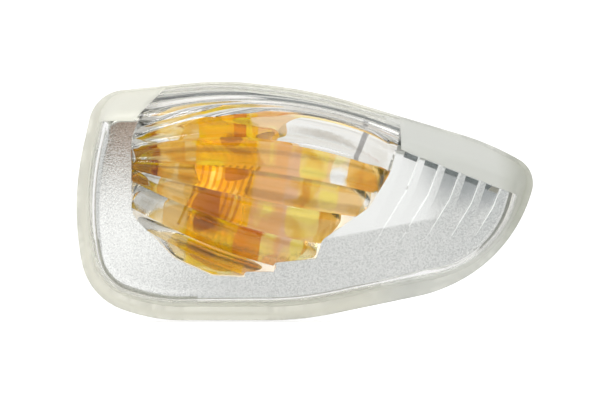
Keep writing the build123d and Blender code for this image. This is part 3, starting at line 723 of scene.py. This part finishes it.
# Rear finishes: colour, roughness, metallic, grain, and the nodes that wear it
REAR_FINISHES = [
    ("black_rubber", (0.02, 0.02, 0.02), 0.7, 0.0, (1500, 0.15, 0.3, 0.2), ["vent_cap", "holder_seal"]),
    ("holder_plastic", (0.05, 0.05, 0.052), 0.4, 0.0, (1800, 0.15, 0.2, 0.1), ["bulb_holder"]),
    ("brass", (0.8, 0.62, 0.35), 0.25, 1.0, METAL_GRAIN, ["contact_left", "contact_right"]),
    ("wire", (0.6, 0.6, 0.6), 0.25, 1.0, METAL_GRAIN, ["lead_wire_left", "lead_wire_right", "filament"]),
]
BEAD_COLOUR = (0.9, 0.95, 0.9)


def feed(tree, node, inputs):
    """Inputs of a node, by name or number: sockets are linked and plain values set."""
    for key, value in inputs.items():
        if isinstance(value, bpy.types.NodeSocket):
            tree.links.new(value, node.inputs[key])
        else:
            node.inputs[key].default_value = value


def add_node(tree, kind, inputs, **settings):
    """A new node with its settings and inputs, laid out in rows of ten."""
    node = tree.nodes.new(kind)
    row, column = divmod(len(tree.nodes), 10)
    node.location = (-220 * column, -260 * row)
    for key, value in settings.items():
        setattr(node, key, value)
    feed(tree, node, inputs)
    return node


def calculate(tree, operation, *values):
    """Socket with the result of a math node on numbers and sockets."""
    return add_node(tree, "ShaderNodeMath", dict(enumerate(values)), operation=operation).outputs[0]


def product(tree, first, *others):
    """Socket with several masks multiplied together."""
    for other in others:
        first = calculate(tree, "MULTIPLY", first, other)
    return first


def ramp(tree, value, ends, unit=1.0):
    """Smooth step of a value from 0 at the first end to 1 at the second."""
    inputs = {"Value": value, "From Min": ends[0] * unit, "From Max": ends[1] * unit}
    return add_node(tree, "ShaderNodeMapRange", inputs, interpolation_type="SMOOTHSTEP").outputs["Result"]


def blend(tree, factor, *colours):
    """Socket with the colour between two others, which are colours or sockets."""
    a, b = (c if isinstance(c, bpy.types.NodeSocket) else (*c, 1) for c in colours)
    inputs = {"Factor": factor, "A": a, "B": b}
    return add_node(tree, "ShaderNodeMix", inputs, data_type="RGBA").outputs["Result"]


def axes_of(tree, socket):
    """X, Y and Z sockets of a vector socket."""
    return add_node(tree, "ShaderNodeSeparateXYZ", {0: socket}).outputs


def object_place(tree):
    """Vector socket with the Object coordinates in metres."""
    return add_node(tree, "ShaderNodeTexCoord", {}).outputs["Object"]


def ball_depth(tree, drop, radius=CROWN_RADIUS, across=CROWN_X, crest=CREST):
    """Socket with the depth under a ball less the drop, in millimetres, from Object coordinates."""
    centre = (across, radius * math.cos(CROWN_TILT) - crest, radius * math.sin(CROWN_TILT))
    inputs = {0: object_place(tree), 1: [c * MM for c in centre]}
    away = add_node(tree, "ShaderNodeVectorMath", inputs, operation="DISTANCE").outputs["Value"]
    return calculate(tree, "MULTIPLY_ADD", away, -1 / MM, radius - drop)


def new_material(name):
    """A material with a Principled shader, its tree and the shader."""
    material = bpy.data.materials.new(name)
    material.use_nodes = True
    return material, material.node_tree, material.node_tree.nodes["Principled BSDF"]


def clear(name, colour, roughness, ior, transmission=1.0):
    """A clear or tinted plastic or glass."""
    material, tree, shader = new_material(name)
    feed(tree, shader, {"Base Color": (*colour, 1), "Roughness": roughness})
    feed(tree, shader, {"IOR": ior, "Transmission Weight": transmission})
    return material, tree, shader


def grain_group():
    """Shared effect: fine grain in the surface, as a height and a change of roughness."""
    group = bpy.data.node_groups.new("moulded_grain", "ShaderNodeTree")
    sockets = {"INPUT": ("Scale", "Roughness", "Spread"), "OUTPUT": ("Height", "Roughness", "Mask")}
    for way, names in sockets.items():
        for name in names:
            group.interface.new_socket(name=name, in_out=way, socket_type="NodeSocketFloat")
    source = add_node(group, "NodeGroupInput", {}).outputs
    place = object_place(group)
    inputs = {"Vector": place, "Scale": source["Scale"], "Detail": 3.0}
    fine = add_node(group, "ShaderNodeTexNoise", inputs).outputs["Fac"]
    broad = add_node(group, "ShaderNodeTexNoise", {"Vector": place, "Scale": BROAD_SCALE}).outputs["Fac"]
    roughness = calculate(group, "MULTIPLY_ADD", fine, source["Spread"], source["Roughness"])
    add_node(group, "NodeGroupOutput", {"Height": fine, "Roughness": roughness, "Mask": broad})
    return group


def grained(name, colour, roughness, metallic, grain):
    """A moulded or metallised finish: grain in its height and roughness, and a slight broad change of tone.
    Its tree, shader, tone and grain come with it, for tones laid over it."""
    scale, spread, bump, shade = grain
    material, tree, shader = new_material(name)
    group = bpy.data.node_groups.get("moulded_grain") or grain_group()
    inputs = {"Scale": scale, "Roughness": roughness - spread / 2, "Spread": spread}
    effect = add_node(tree, "ShaderNodeGroup", inputs, node_tree=group).outputs
    inputs = {"Strength": bump, "Distance": GRAIN_DEPTH, "Height": effect["Height"]}
    normal = add_node(tree, "ShaderNodeBump", inputs).outputs["Normal"]
    tone = blend(tree, effect["Mask"], [c * (1 - shade) for c in colour], colour)
    inputs = {"Base Color": tone, "Roughness": effect["Roughness"], "Metallic": metallic, "Normal": normal}
    feed(tree, shader, inputs)
    return material, tree, shader, tone, effect["Height"]


def lens_plastic(looks):
    """Clear lens plastic, slightly hazy on its side walls, which face away from the front."""
    material, tree, shader = clear("clear_plastic", looks.lens_colour, looks.lens_roughness, PLASTIC_IOR)
    normal = add_node(tree, "ShaderNodeNewGeometry", {}).outputs["Normal"]
    facing = calculate(tree, "ABSOLUTE", axes_of(tree, normal)["Y"])
    more = looks.wall_haze - looks.lens_roughness
    haze = calculate(tree, "MULTIPLY_ADD", ramp(tree, facing, HAZE_FACING), more, looks.lens_roughness)
    tree.links.new(haze, shader.inputs["Roughness"])
    return material


def flange_plastic(looks):
    """Creamy, cloudy plastic of the lens's welded flange, greyer to the right and darker at the end."""
    material, tree, shader = clear("cloudy_plastic", looks.flange_colour, 0.4, PLASTIC_IOR, 0.45)
    feed(tree, shader, {"Specular IOR Level": 0.3})
    x = axes_of(tree, object_place(tree))["X"]
    tone = blend(tree, ramp(tree, x, FLANGE_GREY, MM), looks.flange_colour, FLANGE_GREY_TONE)
    tone = blend(tree, ramp(tree, x, FLANGE_END, MM), tone, FLANGE_END_TONE)
    tree.links.new(tone, shader.inputs["Base Color"])
    return material


def satin_silver(looks):
    """Grained metal film with a sparkle of darker grains, a painted highlight right of the window, and
    painted shade towards the floor of the terraces and slots."""
    colour = looks.silver_colour
    made = grained("satin_silver", colour, looks.silver_roughness, 1.0, SILVER_GRAIN)
    material, tree, shader, tone, grain = made
    tone = blend(tree, ramp(tree, grain, SPARKLE), [SPARKLE_SHARE * c for c in colour], tone)
    place = axes_of(tree, object_place(tree))
    # Painted highlight: a lighter tone above a slanted line, between a left and a right end
    height = calculate(tree, "MULTIPLY_ADD", place["X"], -PAINTED_HIGHLIGHT_LINE[0], place["Z"])
    above = ramp(tree, height, (PAINTED_HIGHLIGHT_LINE[1], PAINTED_HIGHLIGHT_LINE[1] + PAINTED_HIGHLIGHT_FADE), MM)
    left, right = (ramp(tree, place["X"], ends, MM) for ends in (PAINTED_HIGHLIGHT_LEFT, PAINTED_HIGHLIGHT_RIGHT))
    tone = blend(tree, product(tree, above, left, right), tone, PAINTED_HIGHLIGHT_TONE)
    # Painted shade, deepening towards the terraces' floors and darkest in the slots
    depth = ball_depth(tree, BEZEL_DROP)
    channel_shade = product(tree, ramp(tree, depth, CHANNEL_SHADE_DEPTH), ramp(tree, place["X"], CHANNEL_SHADE_REACH, MM))
    tone = blend(tree, channel_shade, tone, CHANNEL_SHADE_TONE)
    tone = blend(tree, ramp(tree, depth, SLOT_SHADE_DEPTH), tone, SLOT_SHADE_TONE)
    tree.links.new(tone, shader.inputs["Base Color"])
    return material


def bright_metal():
    """Bright metal film of the bowl, in the bezel's shade at its left end, with a darker grey line on its
    shelf.
    """
    material, tree, shader, tone, _ = grained("bright_metal", BOWL_COLOUR, 0.12, 1.0, BOWL_GRAIN)
    place = axes_of(tree, object_place(tree))
    tone = blend(tree, ramp(tree, place["X"], BOWL_SHADE, MM), tone, BOWL_SHADE_TONE)
    across = calculate(tree, "MULTIPLY_ADD", place["Z"], -LINE_LEAN, place["X"])
    left, right = (ramp(tree, across, ends, MM) for ends in (LINE_LEFT, LINE_RIGHT))
    line = product(tree, left, right, ramp(tree, place["Z"], LINE_FOOT, MM))
    tree.links.new(blend(tree, line, tone, LINE_TONE), shader.inputs["Base Color"])
    return material


def amber_plastic():
    """Tinted clear plastic: tone steps along the slanted X, facets that lean to yellow or brown, painted
    reflections and a painted highlight as boxes with rounded corners, and darker ribs where the plastic is
    thicker."""
    material, tree, shader = clear("amber_plastic", YELLOW, 0.03, AMBER_IOR)
    feed(tree, shader, {"Specular IOR Level": 0.05})
    place = object_place(tree)
    axes = axes_of(tree, place)
    slant = calculate(tree, "MULTIPLY_ADD", axes["Z"], -AMBER_SLANT, axes["X"])
    share = calculate(tree, "MULTIPLY_ADD", slant, 0.5 / AMBER_SPAN, 0.5)
    zones = add_node(tree, "ShaderNodeValToRGB", {"Fac": share})
    zones.color_ramp.interpolation = "CONSTANT"
    for i, (position, colour) in enumerate(AMBER_ZONES):
        element = zones.color_ramp.elements[i] if i < 2 else zones.color_ramp.elements.new(position)
        element.position = position
        element.color = (*colour, 1)
    inputs = {"Vector": place, "Scale": FACET_SCALE, "Randomness": FACET_RANDOMNESS}
    facets = add_node(tree, "ShaderNodeTexVoronoi", inputs, distance="CHEBYCHEV").outputs["Color"]
    chance = add_node(tree, "ShaderNodeSeparateColor", {"Color": facets}).outputs
    colour = blend(tree, ramp(tree, chance["Red"], YELLOW_FACETS), zones.outputs["Color"], YELLOW)
    colour = blend(tree, ramp(tree, chance["Green"], BROWN_FACETS), colour, LIGHT_BROWN)
    # Each patch is a painted reflection, the white one a painted highlight
    for x, z, wide, high, patch in PAINTED_AMBER_REFLECTIONS:
        # The sum of both distances to the fourth power, each as a share of its half size
        inputs = {"Vector": place, "Location": (x * MM, 0, z * MM), "Scale": (wide * MM, 1000, high * MM)}
        here = add_node(tree, "ShaderNodeMapping", inputs, vector_type="TEXTURE").outputs[0]
        square = add_node(tree, "ShaderNodeVectorMath", {0: here, 1: here}, operation="MULTIPLY").outputs[0]
        fourth = add_node(tree, "ShaderNodeVectorMath", {0: square, 1: square}, operation="DOT_PRODUCT")
        colour = blend(tree, ramp(tree, fourth.outputs["Value"], PATCH_EDGE), colour, patch)
    thick = ramp(tree, ball_depth(tree, FILTER_WALL, *FILTER_BALL), RIB_DEPTH)
    tree.links.new(blend(tree, thick, colour, BROWN), shader.inputs["Base Color"])
    return material


def second_finish(piece, mask):
    """The faces of a mask in the piece's second material."""
    piece.data.polygons.foreach_set("material_index", mask.astype(np.int32))


def dress(piece, *materials):
    """The materials in a piece's slots, instead of what it had."""
    piece.data.materials.clear()
    for material in materials:
        piece.data.materials.append(material)


def number(name, description, default, unit="NONE"):
    return bpy.props.FloatProperty(name=name, description=description, default=default, unit=unit)


def tint(name, description, default):
    rgb = bpy.props.FloatVectorProperty
    return rgb(name=name, description=description, default=default, subtype="COLOR")


class LampLooks(bpy.types.PropertyGroup):
    """Colours and finishes of the lamp."""

    flute_bulge: number("Flute bulge", "Bow of a flute as a share of its width", 0.17)
    lens_colour: tint("Lens colour", "Tint of the clear lens", (0.995, 0.995, 0.985))
    lens_roughness: number("Lens roughness", "Haze of the lens", 0.01)
    flange_colour: tint("Flange colour", "Colour of the lens at its flange", (0.78, 0.775, 0.69))
    wall_haze: number("Wall haze", "Haze of the lens at its side walls", 0.12)
    silver_colour: tint("Bezel colour", "Colour of the satin metal film", (0.71, 0.72, 0.715))
    silver_roughness: number("Bezel roughness", "How satin the bezel is", 0.18)
    bulb_colour: tint("Bulb colour", "Colour of the bulb's lacquer", (1.0, 0.74, 0.28))
    housing_colour: tint("Housing colour", "Colour of the rear case", (0.84, 0.83, 0.76))


# Reflections: direction to the right and up in degrees, radius, soft edge, colour
ROOM_LOW = (1.05, 1.05, 1.05)
FLAGS = [
    (-26, 30, 25, 12, (0.76, 0.73, 0.66)),
    (-22, -8, 4, 5, (0.35, 0.36, 0.33)),
    (-16, -8, 3, 5, (0.42, 0.22, 0.10)),
    (-19.5, -20, 3, 6, (1.7, 1.7, 1.7)),
    (-3, -12, 4, 6, (0.58, 0.55, 0.50)),
    (10, -15, 8, 2, (1.1, 1.1, 1.1)),
    (24, -14, 4, 6, (0.80, 0.82, 0.83)),
]
LENS_MIRROR = 0.1
ROOM_RISE = (-0.35, 0.05)
ROOM_BACK = (-0.3, 0.1)

# Camera over the rim in millimetres, and softboxes and backdrop in metres
CAMERA_X = 7.875
CAMERA_Z = 1.3125
SOFTBOXES = [
    ("key", (-0.5, -0.7, 0.7), (0.5, 0.5), 1.0),
    ("fill", (0.7, -0.5, 0.2), (0.3, 0.6), 0.3),
]
FLOOR_GAP = 0.0006
SWEEP_HALF = 2.0
SWEEP_BEND = 0.35
SWEEP_BACK = 1.4
SWEEP_TOP = 2.2
SWEEP_TONE = (0.85, 0.85, 0.85)
SWEEP_GLOW = 0.6


class StageLooks(bpy.types.PropertyGroup):
    """Camera and light."""

    distance: number("Camera distance", "From the lens's rim to the camera", 0.9, "LENGTH")
    frame_width: number("Frame width", "Width seen at the rim", 0.1575, "LENGTH")
    world_strength: number("World strength", "Even light from all sides", 0.75)
    key_power: number("Key power", "Power of the upper left softbox", 6.0, "POWER")


def studio(tree, looks):
    """Even light from all sides, white for the camera and through glass, and for reflections a pale room
    with darker and lighter flags, each a smooth step of the angle from its direction."""
    direction = add_node(tree, "ShaderNodeTexCoord", {}).outputs["Generated"]
    axes = axes_of(tree, direction)
    white = (1, 1, 1)
    room = blend(tree, ramp(tree, axes["Z"], ROOM_RISE), ROOM_LOW, white)
    behind = ramp(tree, axes["Y"], ROOM_BACK)
    room = blend(tree, behind, room, white)
    for across, up, radius, soft, colour in FLAGS:
        a, e = math.radians(across), math.radians(up)
        towards = (math.sin(a) * math.cos(e), -math.cos(a) * math.cos(e), math.sin(e))
        near = add_node(tree, "ShaderNodeVectorMath", {0: direction, 1: towards}, operation="DOT_PRODUCT")
        edge = math.cos(math.radians(radius + soft)), math.cos(math.radians(radius))
        room = blend(tree, ramp(tree, near.outputs["Value"], edge), room, colour)
    path = add_node(tree, "ShaderNodeLightPath", {}).outputs
    seen = blend(tree, path["Is Camera Ray"], (looks.world_strength,) * 3, white)
    outside = blend(tree, behind, (LENS_MIRROR,) * 3, white)
    mirrored = blend(tree, path["Is Glossy Ray"], seen, outside)
    through = blend(tree, path["Is Transmission Ray"], mirrored, room)
    tree.links.new(through, tree.nodes["Background"].inputs["Color"])


def softbox(name, place, size, power):
    """A rectangular light at a place in metres, turned to the lamp."""
    light = bpy.data.lights.new(name, "AREA")
    light.shape = "RECTANGLE"
    light.size, light.size_y = size
    light.energy = power
    holder = bpy.data.objects.new(name, light)
    holder.location = place
    holder.rotation_euler = Vector(place).to_track_quat("Z", "Y").to_euler()
    bpy.context.scene.collection.objects.link(holder)


def sweep(floor_z):
    """Floor that bends up into a wall: a straight, a quarter circle and a straight, drawn out along X."""
    turn = np.linspace(0, np.pi / 2, 24)
    y = np.concatenate([[-SWEEP_HALF], SWEEP_BACK + SWEEP_BEND * np.sin(turn), [SWEEP_BACK + SWEEP_BEND]])
    z = np.concatenate([[floor_z], floor_z + SWEEP_BEND * (1 - np.cos(turn)), [SWEEP_TOP]])
    x = np.linspace(-SWEEP_HALF, SWEEP_HALF, 5)
    grid = np.stack(np.broadcast_arrays(x, y[:, None], z[:, None]), -1)
    mesh = bpy.data.meshes.new("sweep")
    mesh.from_pydata(grid.reshape(-1, 3), [], grid_faces(len(y), len(x), False).tolist())
    mesh.shade_smooth()
    backdrop = bpy.data.objects.new("sweep", mesh)
    bpy.context.scene.collection.objects.link(backdrop)
    material, tree, shader = new_material("white_sweep")
    camera_ray = add_node(tree, "ShaderNodeLightPath", {}).outputs["Is Camera Ray"]
    glow = calculate(tree, "MULTIPLY", camera_ray, SWEEP_GLOW)
    feed(tree, shader, {"Base Color": (*SWEEP_TONE, 1), "Roughness": 0.8})
    feed(tree, shader, {"Emission Color": (1, 1, 1, 1), "Emission Strength": glow})
    dress(backdrop, material)
    backdrop.visible_glossy = False
    backdrop.visible_transmission = False


class LAMP_OT_lens(bpy.types.Operator):
    """Clear lens with its welding flange and inner flutes"""

    bl_idname = "lamp.lens"
    bl_label = "Lens"

    def execute(self, context):
        looks = context.scene.lamp_looks
        lens = closed_piece("clear_lens", [lens_shell()])
        combine(lens, [flute_block(looks.flute_bulge)], "UNION")
        smooth(lens, 24)
        dress(lens, lens_plastic(looks), flange_plastic(looks))
        everywhere = cad_low[0] / MM - 1, cad_high[0] / MM + 1
        right = CLOUDY_RIGHT - 0.001, everywhere[1]
        planes = [
            ((CLOUDY_RIGHT, 0, 0), (1, 0, 0), *everywhere),
            ((0, 0, SLOT_LINE[1]), (-SLOT_LINE[0], 0, 1), *right),
            ((0, 0, CORNER_LINE[1]), (-CORNER_LINE[0], 0, 1), *CORNER_REACH),
            ((0, 0, CORNER_HEIGHT), (0, 0, 1), *CORNER_REACH),
        ]
        split_along(lens, planes)
        x, f, z, steep = face_places(lens)
        corner = (z > CORNER_LINE[0] * x + CORNER_LINE[1]) & (z > CORNER_HEIGHT)
        band = (x > CLOUDY_RIGHT) & (z > SLOT_LINE[0] * x + SLOT_LINE[1])
        walls = steep & (f < CLOUDY_WALL) & (z < CORNER_HEIGHT)
        cloudy = (f < FLANGE_FRONT + 0.02) | corner | band | walls
        second_finish(lens, cloudy)
        lens.visible_shadow = False
        lens.visible_diffuse = False
        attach(lens, LAMP)
        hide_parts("lens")
        return {"FINISHED"}


class LAMP_OT_bezel(bpy.types.Operator):
    """Satin bezel with its stepped window and five terraces"""

    bl_idname = "lamp.bezel"
    bl_label = "Bezel"

    def execute(self, context):
        looks = context.scene.lamp_looks
        bezel = closed_piece("satin_bezel", [bezel_body()])
        near, far = (rounded(inset(WINDOW_OUTLINE, width), 6, 3) for width in (WINDOW_DRAFT, 0))
        window = block(near, far, MOUTH_FORWARD - 1.0, CREST)
        combine(bezel, [window], "DIFFERENCE")
        combine(bezel, [terrace_tool(k) for k in range(TERRACES)], "DIFFERENCE")
        smooth(bezel, 28)
        # Second finish: the lighter copy of the silver on steep walls, a painted highlight
        dress(bezel, satin_silver(looks), grained("painted_highlight_edge", EDGE_HIGHLIGHT_COLOUR, 0.5, 0.2, EDGE_GRAIN)[0])
        x, f, z, steep = face_places(bezel)
        left, right, low, high = WINDOW_WALLS
        walls = (x > left) & (x < right) & (z > low) & (z < high)
        under = z < SLOT_LINE[0] * x + SLOT_LINE[1] + 0.5
        terraces = (x > TERRACE_LEFT) & under & (x - 0.5 * z < TERRACE_RIGHT)
        second_finish(bezel, steep & (walls | terraces))
        bezel.visible_shadow = False
        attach(bezel, LAMP)
        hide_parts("bezel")
        return {"FINISHED"}


class LAMP_OT_reflector(bpy.types.Operator):
    """Bright bowl of leaning strips"""

    bl_idname = "lamp.reflector"
    bl_label = "Reflector"

    def execute(self, context):
        rim = prism(inset(MOUTH_OUTLINE, -MOUTH_FLANGE), MOUTH_FORWARD - 3.0, MOUTH_FORWARD)
        body = closed_piece("bright_bowl", [rim])
        combine(body, [prism(inset(MOUTH_OUTLINE, -1.6), BOWL_BACK, MOUTH_FORWARD - 0.5)], "UNION")
        combine(body, [bowl_tool()], "DIFFERENCE")
        combine(body, [drum(BULB, BULB_HOLE, 0, CREST)], "DIFFERENCE")
        smooth(body, 25)
        dress(body, bright_metal())
        body.visible_shadow = False
        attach(body, LAMP)
        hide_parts("reflector")
        return {"FINISHED"}


class LAMP_OT_filter(bpy.types.Operator):
    """Amber filter over the bulb, with ribs underneath and an ear at each end"""

    bl_idname = "lamp.filter"
    bl_label = "Amber filter"

    def execute(self, context):
        dome = closed_piece("amber_dome", [filter_shell()])
        ears = [boxed(place, (EAR_LENGTH, EAR_WIDTH), EAR_LOW, EAR_HIGH) for place in EARS]
        combine(dome, ears, "UNION")
        combine(dome, filter_ribs(), "UNION")
        smooth(dome, 30)
        dress(dome, amber_plastic())
        dome.visible_shadow = False
        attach(dome, LAMP)
        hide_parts("amber_filter")
        return {"FINISHED"}


class LAMP_OT_bulb(bpy.types.Operator):
    """Capless glass bulb: its envelope and pinch"""

    bl_idname = "lamp.bulb"
    bl_label = "Bulb"

    def execute(self, context):
        looks = context.scene.lamp_looks
        outer = glass_rings(BULB_RADIUS, NECK_RADIUS, PINCH_FRONT, BULB_TIP)
        wall = GLASS_WALL
        hollow = glass_rings(BULB_RADIUS - wall, NECK_RADIUS - wall, PINCH_FRONT + wall, BULB_TIP - wall)
        glass = closed_piece("bulb_envelope", [(outer, True, False)])
        combine(glass, [(hollow, True, False)], "DIFFERENCE")
        pinch = boxed(BULB, (PINCH_WIDTH, PINCH_THICKNESS), BULB_END, PINCH_FRONT + wall / 2)
        combine(glass, [pinch], "UNION")
        smooth(glass, 35)
        dress(glass, clear("amber_lacquered_glass", looks.bulb_colour, 0.15, GLASS_IOR, 0.4)[0])
        glass.visible_shadow = False
        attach(glass, HOLDER)
        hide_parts("bulb_glass")
        return {"FINISHED"}


class LAMP_OT_rear(bpy.types.Operator):
    """Finishes of the housing, holder, seal, contacts and wires"""

    bl_idname = "lamp.rear"
    bl_label = "Rear parts"

    def execute(self, context):
        looks = context.scene.lamp_looks
        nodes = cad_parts
        plastic = grained("housing_plastic", looks.housing_colour, 0.45, 0.0, HOUSING_GRAIN)[0]
        dress(nodes["housing"], plastic)
        for name, colour, roughness, metallic, grain, wearers in REAR_FINISHES:
            finish = grained(name, colour, roughness, metallic, grain)[0]
            for wearer in wearers:
                dress(nodes[wearer], finish)
        dress(nodes["glass_bead"], clear("bead_glass", BEAD_COLOUR, 0.05, GLASS_IOR)[0])
        return {"FINISHED"}


class LAMP_OT_stage(bpy.types.Operator):
    """Camera, lamps, world, floor and backdrop"""

    bl_idname = "lamp.stage"
    bl_label = "Stage"

    def execute(self, context):
        looks = context.scene.stage_looks
        scene = context.scene
        scene.view_settings.view_transform = "Standard"
        rim_y = -FLANGE_FRONT * MM
        camera = bpy.data.cameras.new("camera")
        camera.lens = camera.sensor_width * looks.distance / looks.frame_width
        camera.clip_end = 20
        view = bpy.data.objects.new("camera", camera)
        view.location = (CAMERA_X * MM, rim_y - looks.distance, CAMERA_Z * MM)
        view.rotation_euler = (math.pi / 2, 0, 0)
        scene.collection.objects.link(view)
        scene.camera = view

        world = bpy.data.worlds.new("studio")
        world.use_nodes = True
        studio(world.node_tree, looks)
        scene.world = world

        for name, place, size, share in SOFTBOXES:
            softbox(name, place, size, looks.key_power * share)
        sweep(cad_low[2] - FLOOR_GAP)
        return {"FINISHED"}


class LAMP_PT_panel(bpy.types.Panel):
    """Lists the lamp's pieces and looks"""

    bl_label = "Indicator lamp"
    bl_space_type = "VIEW_3D"
    bl_region_type = "UI"
    bl_category = "Lamp"

    def draw(self, context):
        for operator in STEPS:
            self.layout.operator(operator.bl_idname)
        for group in (context.scene.lamp_looks, context.scene.stage_looks):
            for name in group.__annotations__:
                self.layout.prop(group, name)


STEPS = (
    LAMP_OT_stage,
    LAMP_OT_lens,
    LAMP_OT_bezel,
    LAMP_OT_reflector,
    LAMP_OT_filter,
    LAMP_OT_bulb,
    LAMP_OT_rear,
)
CLASSES = (LampLooks, StageLooks, *STEPS, LAMP_PT_panel)


def register():
    for cls in CLASSES:
        bpy.utils.register_class(cls)
    bpy.types.Scene.lamp_looks = bpy.props.PointerProperty(type=LampLooks)
    bpy.types.Scene.stage_looks = bpy.props.PointerProperty(type=StageLooks)


def unregister():
    del bpy.types.Scene.stage_looks
    del bpy.types.Scene.lamp_looks
    for cls in reversed(CLASSES):
        bpy.utils.unregister_class(cls)


def main():
    register()
    bpy.ops.lamp.stage()
    bpy.ops.lamp.lens()
    bpy.ops.lamp.bezel()
    bpy.ops.lamp.reflector()
    bpy.ops.lamp.filter()
    bpy.ops.lamp.bulb()
    bpy.ops.lamp.rear()


if __name__ == "__main__":
    main()
